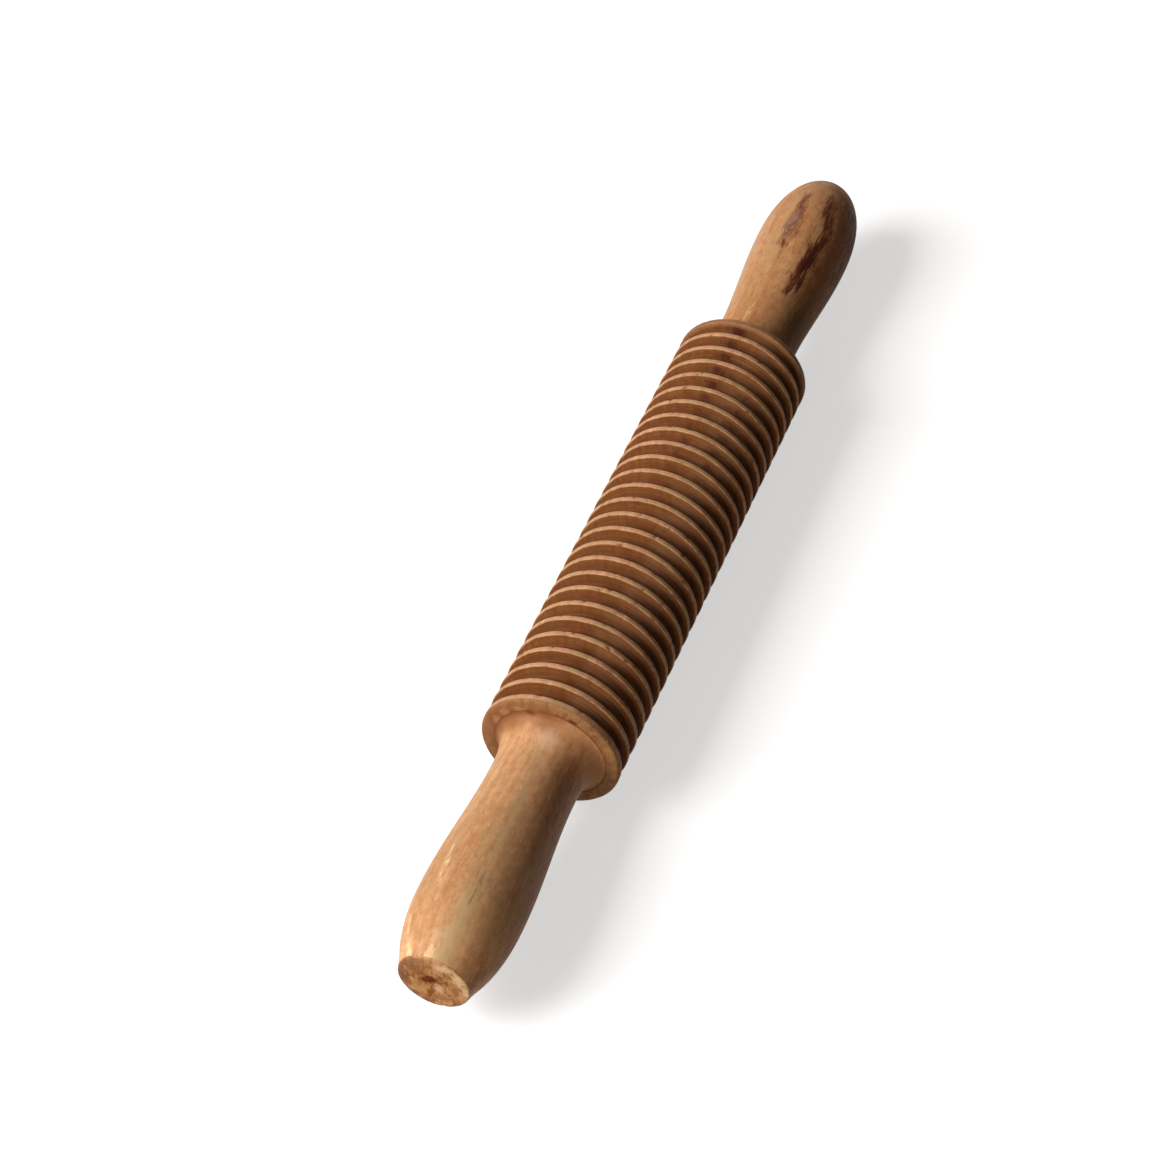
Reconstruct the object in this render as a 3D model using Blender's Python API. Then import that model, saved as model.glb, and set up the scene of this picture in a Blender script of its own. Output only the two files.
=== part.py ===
"""Pasta cutter rolling pin: a ribbed wooden barrel that turns on a steel axle between two wooden handles.

The pin lies along X on the floor, Z = 0, with the middle of the barrel at X = 0. Every round piece is
turned about one line, the axle's, and is drawn as it sits at the right end. What belongs to the left
end is turned half round Z. Lengths along the pin are measured outward from the barrel's middle.
"""

import math

import bmesh
import bpy

# Gaps between pieces, in metres
seat_gap = 0.0003
running_gap = 0.0003
bore_clearance = 0.0009
end_float = 0.0004
shoulder_ring_gap = 0.0004

# Barrel
rib_count = 27
rib_pitch = 0.0066
crest_radius = 0.0225
land_width = 0.0016
rib_root_width = 0.0038
groove_depth = 0.0034
end_lip = 0.0017
edge_break = 0.0004
right_rim_break = 0.0012
shoulder_recess_depth = 0.0020

# Handles
shoulder_radius = 0.0180
flare_length = 0.0125
neck_radius = 0.0137
belly_radius = 0.0164
belly_from_barrel = 0.0613
dome_reach = 0.0333
dome_fullness = 2.2
left_cone_radius = 0.0123
left_cone_length = 0.0044
left_end_radius = 0.0110
left_end_break = 0.0005
right_end_radius = 0.0045

# Axle, its bushes and what clamps the handles on it
journal_radius = 0.0050
axle_end_radius = 0.0040
axle_chamfer = 0.0006
right_axle_grip = 0.0600
bush_wall = 0.0027
bush_length = 0.0220
flange_radius = 0.0120
flange_thickness = 0.0019
thrust_washer_radius = 0.0115
thrust_washer_thickness = 0.0011
insert_wall = 0.0020
insert_length = 0.0180
insert_flange_radius = 0.0085
insert_flange_thickness = 0.0016
nut_width = 0.0130
nut_height = 0.0064
nut_washer_radius = 0.0080
nut_washer_thickness = 0.0016
thread_past_nut = 0.0020
plug_length = 0.0120
plug_clearance = 0.0012
centre_mark_radius = 0.0012
centre_mark_depth = 0.0015

# Facets round each piece, and steps along the curved stretches of a handle
wood_facets = 32
fitting_facets = 24
flare_steps = 5
neck_steps = 7
dome_steps = 7


def dome_length(radius):
    """How far past the belly a handle's dome has narrowed to a radius."""
    return dome_reach * (1 - (radius / belly_radius) ** dome_fullness) ** (1 / dome_fullness)


# Along the pin, outward from the barrel's middle
barrel_end = (rib_count - 1) / 2 * rib_pitch + end_lip
recess_floor = barrel_end - shoulder_recess_depth
handle_face = recess_floor + end_float
belly = barrel_end + belly_from_barrel
left_handle_end = belly + dome_length(left_cone_radius) + left_cone_length
right_handle_end = belly + dome_length(right_end_radius)
thrust_washer_face = handle_face - seat_gap
thrust_washer_back = thrust_washer_face - thrust_washer_thickness
axle_step = thrust_washer_back - seat_gap
flange_face = thrust_washer_back - running_gap
flange_back = flange_face - flange_thickness
bush_inner_end = flange_back - bush_length
insert_flange_back = handle_face + insert_flange_thickness
insert_end = handle_face + insert_length
plug_inner_end = left_handle_end - plug_length
left_axle_end = plug_inner_end - plug_clearance
nut_outer_face = left_axle_end - thread_past_nut
nut_inner_face = nut_outer_face - nut_height
nut_washer_face = nut_inner_face - seat_gap
nut_pocket_floor = nut_washer_face - nut_washer_thickness - seat_gap
right_axle_end = handle_face + right_axle_grip

# Across the pin
core_radius = crest_radius - groove_depth
recess_radius = shoulder_radius + shoulder_ring_gap
bush_bore_radius = journal_radius + running_gap
bush_radius = bush_bore_radius + bush_wall
barrel_bore_radius = journal_radius + bore_clearance
fitting_bore_radius = axle_end_radius + seat_gap
insert_radius = fitting_bore_radius + insert_wall
nut_corner_radius = nut_width / 2 / math.cos(math.pi / 6)
plug_radius = max(nut_washer_radius, nut_corner_radius)
nut_pocket_radius = plug_radius + seat_gap

# The lowest facets of the ribs' lands lie flat on the floor
axle_height = crest_radius * math.cos(math.pi / wood_facets)


def clear_scene():
    for obj in list(bpy.data.objects):
        bpy.data.objects.remove(obj, do_unlink=True)


def material(name, colour, roughness, metallic=0.0):
    made = bpy.data.materials.new(name)
    made.use_nodes = True
    shader = made.node_tree.nodes["Principled BSDF"]
    shader.inputs["Base Color"].default_value = (*colour, 1.0)
    shader.inputs["Roughness"].default_value = roughness
    shader.inputs["Metallic"].default_value = metallic
    return made


def empty(name, parent=None):
    made = bpy.data.objects.new(name, None)
    made.parent = parent
    bpy.context.scene.collection.objects.link(made)
    return made


def finished_mesh(name, shape, finish):
    """Turns a bmesh into a mesh with its faces pointing out, smooth round its curves, in one material."""
    bmesh.ops.recalc_face_normals(shape, faces=shape.faces)
    mesh = bpy.data.meshes.new(name)
    shape.to_mesh(mesh)
    shape.free()
    mesh.shade_smooth()
    mesh.set_sharp_from_angle(angle=math.radians(35))
    mesh.materials.append(finish)
    return mesh


def turned(name, section, facets, finish):
    """A mesh turned about X from its half section, a list of (x, radius) points.

    A section that touches the axis starts and ends on it. Any other is closed, and makes a ring.
    The seam stands half a facet round from the top, so that a facet faces straight down.
    """
    shape = bmesh.new()
    seam = math.pi / facets
    points = [shape.verts.new((x, r * math.sin(seam), r * math.cos(seam))) for x, r in section]
    pairs = list(zip(points, points[1:]))
    if section[0][1] > 0:
        pairs.append((points[-1], points[0]))
    edges = [shape.edges.new(pair) for pair in pairs]
    bmesh.ops.spin(
        shape,
        geom=points + edges,
        cent=(0, 0, 0),
        axis=(1, 0, 0),
        angle=2 * math.pi,
        steps=facets,
        use_merge=True,
    )
    bmesh.ops.remove_doubles(shape, verts=shape.verts, dist=1e-6)
    return finished_mesh(name, shape, finish)


def place(name, mesh, parent, left_end=False):
    """Puts a piece on the axle's line, turned half round Z where it belongs to the left end."""
    made = bpy.data.objects.new(name, mesh)
    made.parent = parent
    made.rotation_euler.z = math.pi if left_end else 0.0
    bpy.context.scene.collection.objects.link(made)


def mirrored(section):
    """The same half section at the other end of the barrel, in the order that joins on to it."""
    return [(-x, r) for x, r in reversed(section)]


def rib(middle):
    """One rib: its two roots and the edges of the narrow land that cuts the dough."""
    return [
        (middle - rib_root_width / 2, core_radius),
        (middle - land_width / 2, crest_radius),
        (middle + land_width / 2, crest_radius),
        (middle + rib_root_width / 2, core_radius),
    ]


def rim(broken):
    """The rim past the barrel's last rib, with its edge broken by that much."""
    return [
        (barrel_end - broken, crest_radius),
        (barrel_end, crest_radius - broken),
    ]


def barrel_section():
    """Ribs along the outside, a rim at each end, then the stepped seats and the clearance bore."""
    ribs = []
    for i in range(rib_count):
        ribs += rib((i - (rib_count - 1) / 2) * rib_pitch)
    flange_seat = flange_back - seat_gap
    bush_seat = bush_inner_end - seat_gap
    seats = [
        (barrel_end, recess_radius),
        (recess_floor, recess_radius),
        (recess_floor, flange_radius + seat_gap),
        (flange_seat, flange_radius + seat_gap),
        (flange_seat, bush_radius + seat_gap),
        (bush_seat, bush_radius + seat_gap),
        (bush_seat, barrel_bore_radius),
    ]
    return ribs[2:-2] + rim(right_rim_break) + seats + mirrored(rim(edge_break) + seats)


def handle_outside(end_radius):
    """The outside of a handle: its shoulder, flare, neck, belly and the dome down to a radius.

    The flare is a quarter of an ellipse that starts level with the barrel's end face. The neck swells
    into the belly along a cosine. The dome is a rather fuller curve than an ellipse, the same on both
    handles, cut off where it has narrowed to the given radius.
    """
    neck = barrel_end + flare_length
    power = 2 / dome_fullness
    last_angle = math.acos((end_radius / belly_radius) ** (1 / power))
    section = [(handle_face, shoulder_radius)]
    for i in range(flare_steps):
        angle = math.pi / 2 * i / flare_steps
        drop = (shoulder_radius - neck_radius) * math.sin(angle)
        section.append((neck - flare_length * math.cos(angle), shoulder_radius - drop))
    for i in range(neck_steps):
        share = i / neck_steps
        swell = (belly_radius - neck_radius) * (1 - math.cos(math.pi * share)) / 2
        section.append((neck + (belly - neck) * share, neck_radius + swell))
    for i in range(dome_steps + 1):
        angle = last_angle * i / dome_steps
        reach = dome_reach * math.sin(angle) ** power
        section.append((belly + reach, belly_radius * math.cos(angle) ** power))
    return section


def left_handle_section():
    """The left handle's dome runs out into a short cone with a flat end.

    The handle is bored right through, with a pocket for the nut and plug in that end.
    """
    inside = [
        (left_handle_end - left_end_break, left_end_radius),
        (left_handle_end, left_end_radius - left_end_break),
        (left_handle_end, nut_pocket_radius),
        (nut_pocket_floor, nut_pocket_radius),
        (nut_pocket_floor, fitting_bore_radius),
        (handle_face, fitting_bore_radius),
    ]
    return handle_outside(left_cone_radius) + inside


def right_handle_section():
    """The right handle has a blind bore for the axle, with a seat for the threaded insert at its mouth."""
    bore_bottom = right_axle_end + seat_gap
    insert_bottom = insert_end + seat_gap
    flange_bottom = insert_flange_back + seat_gap
    inside = [
        (bore_bottom, 0.0),
        (bore_bottom, fitting_bore_radius),
        (insert_bottom, fitting_bore_radius),
        (insert_bottom, insert_radius + seat_gap),
        (flange_bottom, insert_radius + seat_gap),
        (flange_bottom, insert_flange_radius + seat_gap),
        (handle_face, insert_flange_radius + seat_gap),
    ]
    return inside + handle_outside(right_end_radius) + [(right_handle_end, 0.0)]


def axle_section():
    """A journal through the barrel, stepped down at both ends, where the handles are clamped."""
    return [
        (-left_axle_end, 0.0),
        (-left_axle_end, axle_end_radius - axle_chamfer),
        (-left_axle_end + axle_chamfer, axle_end_radius),
        (-axle_step, axle_end_radius),
        (-axle_step, journal_radius),
        (axle_step, journal_radius),
        (axle_step, axle_end_radius),
        (right_axle_end - axle_chamfer, axle_end_radius),
        (right_axle_end, axle_end_radius - axle_chamfer),
        (right_axle_end, 0.0),
    ]


def bush_section():
    """A flanged bush: the journal turns in it, and its flange takes the end thrust."""
    return [
        (flange_face, bush_bore_radius),
        (bush_inner_end, bush_bore_radius),
        (bush_inner_end, bush_radius),
        (flange_back, bush_radius),
        (flange_back, flange_radius),
        (flange_face, flange_radius),
    ]


def washer_section(face, thickness, radius):
    """A flat washer on the stepped-down end of the axle."""
    return [
        (face, fitting_bore_radius),
        (face - thickness, fitting_bore_radius),
        (face - thickness, radius),
        (face, radius),
    ]


def insert_section():
    """The threaded insert in the right handle's shoulder, which the axle screws into."""
    return [
        (handle_face, fitting_bore_radius),
        (handle_face, insert_flange_radius),
        (insert_flange_back, insert_flange_radius),
        (insert_flange_back, insert_radius),
        (insert_end, insert_radius),
        (insert_end, fitting_bore_radius),
    ]


def plug_section():
    """The wooden plug that hides the nut, with the centre mark that the lathe left in its end."""
    return [
        (plug_inner_end, 0.0),
        (plug_inner_end, plug_radius - edge_break),
        (plug_inner_end + edge_break, plug_radius),
        (left_handle_end, plug_radius),
        (left_handle_end, centre_mark_radius),
        (left_handle_end - centre_mark_depth, 0.0),
    ]


def ring_of_edges(shape, x, radius, sides):
    """A closed ring of edges square to the axle."""
    angles = [2 * math.pi * i / sides for i in range(sides)]
    corners = [shape.verts.new((x, radius * math.sin(a), radius * math.cos(a))) for a in angles]
    return [shape.edges.new((corners[i - 1], corners[i])) for i in range(sides)]


def nut(name, finish):
    """A hexagon nut: the face between its six sides and its round hole, extruded to its height."""
    shape = bmesh.new()
    outer = ring_of_edges(shape, nut_inner_face, nut_corner_radius, 6)
    hole = ring_of_edges(shape, nut_inner_face, fitting_bore_radius, fitting_facets)
    bmesh.ops.triangle_fill(shape, edges=outer + hole, use_beauty=True)
    grown = bmesh.ops.extrude_face_region(shape, geom=list(shape.faces))
    moved = [item for item in grown["geom"] if isinstance(item, bmesh.types.BMVert)]
    bmesh.ops.translate(shape, verts=moved, vec=(nut_height, 0, 0))
    return finished_mesh(name, shape, finish)


def build_barrel(parent):
    """The ribbed barrel and the two bushes pressed into its ends, which turn together on the axle."""
    barrel_wood = material("barrel_wood", (0.36, 0.17, 0.08), 0.55)
    nylon = material("nylon", (0.80, 0.78, 0.72), 0.40)
    place("ribbed_barrel", turned("ribbed_barrel", barrel_section(), wood_facets, barrel_wood), parent)
    bush = turned("bush", bush_section(), fitting_facets, nylon)
    place("left_bush", bush, parent, left_end=True)
    place("right_bush", bush, parent)


def build_handles(parent):
    """The axle, the two handles and the fittings that clamp them on it, which stay still in the hands."""
    handle_wood = material("handle_wood", (0.62, 0.34, 0.165), 0.50)
    plug_wood = material("plug_wood", (0.42, 0.21, 0.09), 0.65)
    steel = material("steel", (0.60, 0.60, 0.61), 0.35, 1.0)
    brass = material("brass", (0.72, 0.53, 0.24), 0.40, 1.0)

    left_handle = turned("left_handle", left_handle_section(), wood_facets, handle_wood)
    right_handle = turned("right_handle", right_handle_section(), wood_facets, handle_wood)
    end_plug = turned("end_plug", plug_section(), fitting_facets, plug_wood)
    place("left_handle", left_handle, parent, left_end=True)
    place("right_handle", right_handle, parent)
    place("end_plug", end_plug, parent, left_end=True)

    thrust_section = washer_section(thrust_washer_face, thrust_washer_thickness, thrust_washer_radius)
    thrust_washer = turned("thrust_washer", thrust_section, fitting_facets, steel)
    place("axle_rod", turned("axle_rod", axle_section(), fitting_facets, steel), parent)
    place("left_thrust_washer", thrust_washer, parent, left_end=True)
    place("right_thrust_washer", thrust_washer, parent)

    nut_washer_section = washer_section(nut_washer_face, nut_washer_thickness, nut_washer_radius)
    nut_washer = turned("nut_washer", nut_washer_section, fitting_facets, steel)
    place("threaded_insert", turned("threaded_insert", insert_section(), fitting_facets, brass), parent)
    place("nut_washer", nut_washer, parent, left_end=True)
    place("axle_nut", nut("axle_nut", steel), parent, left_end=True)


clear_scene()
axle_line = empty("axle_line")
axle_line.location.z = axle_height
barrel_turns = empty("barrel_turns", axle_line)
build_barrel(barrel_turns)
build_handles(axle_line)
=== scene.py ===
"""The looks of a pasta cutter rolling pin: turned wood in fine detail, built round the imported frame.

Lengths are in metres. The pin lies along X on the floor, with the flat-ended left handle at -X, and the
camera looks along it from above that handle. Every wooden piece is turned from its half section by one
Geometry Nodes tree, and the barrel's ribs are set out along its section by another.
"""

import math

import bmesh
import bpy
from mathutils import Matrix, Vector


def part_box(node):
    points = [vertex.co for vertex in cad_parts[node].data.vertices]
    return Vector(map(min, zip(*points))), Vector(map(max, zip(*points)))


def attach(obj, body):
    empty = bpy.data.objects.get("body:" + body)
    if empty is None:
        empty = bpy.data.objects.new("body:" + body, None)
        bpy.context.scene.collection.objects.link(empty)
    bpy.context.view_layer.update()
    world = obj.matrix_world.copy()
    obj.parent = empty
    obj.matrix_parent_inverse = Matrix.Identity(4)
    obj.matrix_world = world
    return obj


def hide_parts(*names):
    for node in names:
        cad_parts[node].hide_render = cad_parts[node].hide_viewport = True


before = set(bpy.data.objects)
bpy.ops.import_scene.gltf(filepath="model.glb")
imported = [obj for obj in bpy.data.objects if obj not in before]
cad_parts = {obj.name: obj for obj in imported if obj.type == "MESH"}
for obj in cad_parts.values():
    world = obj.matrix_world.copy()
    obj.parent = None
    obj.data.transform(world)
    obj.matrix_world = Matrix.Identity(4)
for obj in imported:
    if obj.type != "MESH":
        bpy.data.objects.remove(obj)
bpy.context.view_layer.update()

# The axle's line and the ends of the pieces, from the frame
barrel_low, barrel_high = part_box("ribbed_barrel")
left_low, left_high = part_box("left_handle")
right_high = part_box("right_handle")[1]
plug_low, plug_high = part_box("end_plug")
axle_height = (barrel_low.z + barrel_high.z) / 2
crest_radius = (barrel_high.z - barrel_low.z) / 2
barrel_end = barrel_high.x
handle_face = -left_high.x
left_handle_end = -left_low.x
right_handle_end = right_high.x
shoulder_radius = (left_high.z - left_low.z) / 2
plug_length = plug_high.x - plug_low.x
plug_radius = (plug_high.z - plug_low.z) / 2

# Barrel
rib_count = 27
rib_pitch = 0.0066
land_width = 0.0016
rib_root_width = 0.0038
groove_depth = 0.0034
land_rounding = 0.00040
root_rounding = 0.0008
left_rim_rounding = 0.0009
right_rim_rounding = 0.0012
shoulder_recess_depth = 0.0020
shoulder_ring_gap = 0.00001
ring_edge_rounding = 0.00005
barrel_bore_radius = 0.0125

# Handles
flare_length = 0.0125
neck_radius = 0.0137
belly_radius = 0.0164
belly_from_barrel = 0.0613
dome_reach = 0.0333
dome_fullness = 2.2
left_cone_radius = 0.0123
left_end_radius = 0.0110
left_end_rounding = 0.0004
right_end_rounding = 0.0015
handle_bore_radius = 0.0090
plug_gap = 0.00002
plug_pocket_depth = 0.0240
plug_sunk = 0.00002
pocket_rounding = 0.00003
centre_mark_radius = 0.0013
centre_mark_depth = 0.0016

# How much of a full shine the oiled wood has
wood_shine = 0.18

# Wear: how far the pieces have gone out of round, and the nicks on the ribs and on the near end's edge
barrel_out_of_round = 0.00008
handle_out_of_round = 0.00012
rib_nick_depth = 0.00030
rib_nick_size = 0.0018
rib_nick_reach = 0.0008
end_nick_depth = 0.00012
end_nick_size = 0.0022
end_nick_reach = 0.0016

# The near end: how rough the saw left it, and how far in that and its end grain show
saw_roughness = 0.0004
saw_reach = 0.0008
end_grain_reach = 0.0009

# Painted shade on a handle's flare, in the crease beside the barrel: how far each reaches from the barrel,
# its strength and its tint
flare_crease_shades = (
    (0.0060, 1.00, (0.275, 0.105, 0.030)),
    (0.0012, 0.55, (0.150, 0.050, 0.014)),
)

# Tints of the marks on the handles; some of them lay painted shade and painted sheen
brown = (0.31, 0.125, 0.048)
rusty = (0.22, 0.068, 0.028)
reddish = (0.17, 0.046, 0.024)
garnet = (0.135, 0.028, 0.015)
ruby = (0.11, 0.026, 0.014)
singed = (0.17, 0.060, 0.014)
burnt = (0.12, 0.028, 0.004)
sooty = (0.060, 0.013, 0.010)
olive_sheen = (0.54, 0.37, 0.185)
sap = (0.72, 0.485, 0.27)
pinkish = (0.43, 0.235, 0.17)
painted_sheen = (0.76, 0.52, 0.38)
bare = (0.95, 0.66, 0.34)

# Painted fill light deep in the grooves on the shaded side: the angle round the pin where it is laid and its
# tint
groove_fill_angle = math.radians(-52.0)
groove_fill_tint = (0.42, 0.190, 0.082)

# Mesh fineness
barrel_facets = 224
handle_facets = 144
edge_steps = 3
root_steps = 2
rim_steps = 6
face_steps = 14
long_curve_steps = 26
weld = 1e-6
sharp_edge = math.radians(50.0)

# The camera stands as the photograph's did, seen from the pin
camera_from_axle = Vector((-0.62860, -0.29091, 0.71291))
camera_direction = Vector((0.61760, 0.31193, -0.72199))
camera_right = Vector((0.36305, -0.92740, -0.09012))
focal_length = 97.24
sensor_width = 36.0

# Each lamp is turned round the pin from straight up toward +Y and leans toward the near end; the values
# are its angle, lean, distance, length, width, power and tint
window = (43.0, 29.0, 2.0, 1.30, 1.20, 55.5, (1.0, 1.0, 1.0))
doorway = (-44.0, 80.5, 2.0, 0.90, 1.00, 15.5, (1.0, 0.90, 0.78))
far_corner = (60.0, -76.0, 2.0, 0.90, 0.90, 7.0, (1.0, 0.95, 0.88))
room_light = 0.032
room_tint = (1.0, 0.62, 0.36, 1.0)

# Floor and backdrop
floor_radius = 6.0
sweep_radius = 3.0
sweep_angle = math.radians(70.0)
sweep_steps = 16
backdrop_facets = 96
shadow_reach = 0.45
white_beyond = 1.3


class Network:
    """A node tree under construction: each call adds a node and gives back the node or its output."""

    def __init__(self, tree):
        self.tree = tree

    def feed(self, sockets, values):
        """Links or sets sockets by name, where an underscore stands for a space."""
        for name, source in values.items():
            socket = sockets[name.replace("_", " ") if isinstance(name, str) else name]
            if isinstance(source, bpy.types.NodeSocket):
                self.tree.links.new(source, socket)
            elif socket.type == "RGBA" and len(source) == 3:
                socket.default_value = (*source, 1.0)
            else:
                socket.default_value = source

    def node(self, kind, feeds=None, **settings):
        made = self.tree.nodes.new(kind)
        for name, value in settings.items():
            setattr(made, name, value)
        self.feed(made.inputs, feeds or {})
        return made

    def shape(self, kind, **feeds):
        """The first output of a Geometry Nodes node."""
        return self.node(kind, feeds).outputs[0]

    def use(self, tree, **feeds):
        """The outputs of a group put into this tree."""
        return self.node("ShaderNodeGroup", feeds, node_tree=tree).outputs

    def give(self, **sources):
        """Feeds a group's outputs, which completes it, and gives back its tree."""
        self.node("NodeGroupOutput", sources)
        return self.tree

    def math(self, operation, *terms):
        return self.node("ShaderNodeMath", dict(enumerate(terms)), operation=operation).outputs[0]

    def plus(self, *terms):
        return self.math("ADD", *terms)

    def minus(self, *terms):
        return self.math("SUBTRACT", *terms)

    def times(self, *terms):
        return self.math("MULTIPLY", *terms)

    def times_plus(self, *terms):
        """The first term times the second, plus the third."""
        return self.math("MULTIPLY_ADD", *terms)

    def over(self, *terms):
        return self.math("DIVIDE", *terms)

    def vector_math(self, operation, *terms):
        made = self.node("ShaderNodeVectorMath", dict(enumerate(terms)), operation=operation)
        return made.outputs["Value" if operation == "LENGTH" else "Vector"]

    def ramp(self, value, low, high, to_low=0.0, to_high=1.0):
        """A smooth rise from to_low to to_high as the value goes from low to high."""
        feeds = {0: value, 1: low, 2: high, 3: to_low, 4: to_high}
        return self.node("ShaderNodeMapRange", feeds, interpolation_type="SMOOTHSTEP").outputs[0]

    def noise(self, place, scale, detail=2.0, roughness=0.5):
        feeds = {"Vector": place, "Scale": scale, "Detail": detail, "Roughness": roughness}
        return self.node("ShaderNodeTexNoise", feeds).outputs[0]

    def uneven(self, *settings):
        """Noise that swings about nought."""
        return self.minus(self.noise(*settings), 0.5)

    def mix(self, share, first, second):
        return self.node("ShaderNodeMix", {0: share, 6: first, 7: second}, data_type="RGBA").outputs[2]

    def lay(self, colour, mask, strength, tint):
        """Lays a tint over a colour where the mask is."""
        return self.mix(self.times(mask, strength), colour, tint)

    def split(self, vector):
        return self.node("ShaderNodeSeparateXYZ", {0: vector}).outputs

    def join(self, x, y, z):
        return self.node("ShaderNodeCombineXYZ", {0: x, 1: y, 2: z}).outputs[0]

    def off_axis(self, y, z):
        """The distance from the X axis."""
        return self.vector_math("LENGTH", self.join(0.0, y, z))


def socket_kind(value):
    """The kind of a socket: a name says it, and so does a default value."""
    if isinstance(value, str):
        return "NodeSocket" + value
    if isinstance(value, tuple):
        return "NodeSocketColor" if len(value) == 4 else "NodeSocketVector"
    return "NodeSocketInt" if isinstance(value, int) else "NodeSocketFloat"


def new_group(name, inputs, outputs, tree_kind="ShaderNodeTree"):
    """A node group's network and its inputs by name.

    Each input has its default or, where it has none, its kind. Each output has its kind.
    """
    tree = bpy.data.node_groups.new(name, tree_kind)
    for side, sockets in (("INPUT", inputs), ("OUTPUT", outputs)):
        for socket_name, value in sockets.items():
            kind = socket_kind(value)
            socket = tree.interface.new_socket(socket_name, in_out=side, socket_type=kind)
            if not isinstance(value, str):
                socket.default_value = value
    network = Network(tree)
    return network, network.node("NodeGroupInput").outputs


def placed(name, data):
    """A new object in the scene that holds the data."""
    made = bpy.data.objects.new(name, data)
    bpy.context.scene.collection.objects.link(made)
    return made


# Turned outlines

def rounded(corner, before, after, radius, steps=edge_steps):
    """The points of a corner rounded with an arc of that radius, between the points beside it."""
    corner, before, after = Vector(corner), Vector(before), Vector(after)
    back, ahead = (before - corner).normalized(), (after - corner).normalized()
    half_angle = back.angle(ahead) / 2
    centre = corner + (back + ahead).normalized() * radius / math.sin(half_angle)
    start = corner + back * radius / math.tan(half_angle) - centre
    turn = math.pi - 2 * half_angle
    if back.x * ahead.y - back.y * ahead.x > 0:
        turn = -turn
    points = []
    for i in range(steps + 1):
        angle = turn * i / steps
        points.append((
            centre.x + start.x * math.cos(angle) - start.y * math.sin(angle),
            centre.y + start.x * math.sin(angle) + start.y * math.cos(angle),
        ))
    return points


def rib_outline():
    """One rib from groove floor to groove floor, with rounded roots and lightly rounded land edges."""
    core_radius = crest_radius - groove_depth
    corners = [
        (-rib_pitch / 2, core_radius),
        (-rib_root_width / 2, core_radius),
        (-land_width / 2, crest_radius),
        (land_width / 2, crest_radius),
        (rib_root_width / 2, core_radius),
        (rib_pitch / 2, core_radius),
    ]
    root = (root_rounding, root_steps)
    land = (land_rounding, edge_steps)
    points = [corners[0]]
    for i, (radius, steps) in enumerate([root, land, land, root]):
        points += rounded(corners[i + 1], corners[i], corners[i + 2], radius, steps)
    return points + [corners[-1]]


def barrel_end_outline(rim_rounding):
    """The right end of the barrel, from the groove floor beside the last rib to the middle of the bore."""
    core_radius = crest_radius - groove_depth
    last_rib = (rib_count - 1) / 2 * rib_pitch
    recess_radius = shoulder_radius + shoulder_ring_gap
    recess_floor = barrel_end - shoulder_recess_depth
    root = (last_rib - rib_root_width / 2, core_radius)
    land_start = (last_rib - land_width / 2, crest_radius)
    rim = (barrel_end, crest_radius)
    face_end = (barrel_end, recess_radius)
    return (
        [(last_rib - rib_pitch / 2, core_radius)]
        + rounded(root, (last_rib - rib_pitch / 2, core_radius), land_start, root_rounding)
        + rounded(land_start, root, rim, land_rounding)
        + rounded(rim, land_start, face_end, rim_rounding, rim_steps)
        + rounded(face_end, rim, (recess_floor, recess_radius), ring_edge_rounding)
        + [(recess_floor, recess_radius), (recess_floor, barrel_bore_radius)]
    )


def dome_radius(end):
    """A handle's radius where its dome is cut off, at a distance from the barrel's middle."""
    share = (end - barrel_end - belly_from_barrel) / dome_reach
    return belly_radius * (1 - share ** dome_fullness) ** (1 / dome_fullness)


def handle_outline(cut_radius):
    """The outside of a handle: shoulder, flare, neck, belly and the dome down to a radius."""
    neck = barrel_end + flare_length
    belly = barrel_end + belly_from_barrel
    power = 2 / dome_fullness
    last_angle = math.acos((cut_radius / belly_radius) ** (1 / power))
    points = [(handle_face, shoulder_radius)]
    for i in range(long_curve_steps):
        angle = math.pi / 2 * i / long_curve_steps
        drop = (shoulder_radius - neck_radius) * math.sin(angle)
        points.append((neck - flare_length * math.cos(angle), shoulder_radius - drop))
    for i in range(long_curve_steps):
        share = i / long_curve_steps
        swell = (belly_radius - neck_radius) * (1 - math.cos(math.pi * share)) / 2
        points.append((neck + (belly - neck) * share, neck_radius + swell))
    for i in range(long_curve_steps + 1):
        angle = last_angle * i / long_curve_steps
        reach = dome_reach * math.sin(angle) ** power
        points.append((belly + reach, belly_radius * math.cos(angle) ** power))
    return points


def left_handle_outline():
    """The left handle: its dome runs out into a short cone with a flat end, which the plug fills."""
    pocket_radius = plug_radius + plug_gap
    pocket_floor = left_handle_end - plug_pocket_depth
    dome = handle_outline(left_cone_radius)
    end_edge = (left_handle_end, left_end_radius)
    pocket_edge = (left_handle_end, pocket_radius)
    return (
        dome
        + rounded(end_edge, dome[-1], (left_handle_end, 0.0), left_end_rounding)
        + rounded(pocket_edge, end_edge, (pocket_floor, pocket_radius), pocket_rounding)
        + [(pocket_floor, pocket_radius), (pocket_floor, handle_bore_radius / 2)]
        + [(handle_face, handle_bore_radius / 2)]
    )


def right_handle_outline():
    """The right handle: a dome that closes on the axis, and the seat for the insert at its shoulder."""
    bore_bottom = barrel_end + belly_from_barrel
    end_radius = dome_radius(right_handle_end)
    dome = handle_outline(end_radius)
    edge = dome.pop()
    dome = [(x, r) for x, r in dome if math.dist((x, r), edge) > right_end_rounding]
    return (
        [(bore_bottom, 0.0), (bore_bottom, handle_bore_radius), (handle_face, handle_bore_radius)]
        + dome
        + rounded(edge, dome[-1], (right_handle_end, 0.0), right_end_rounding)
        + [(right_handle_end, 0.0)]
    )


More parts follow.
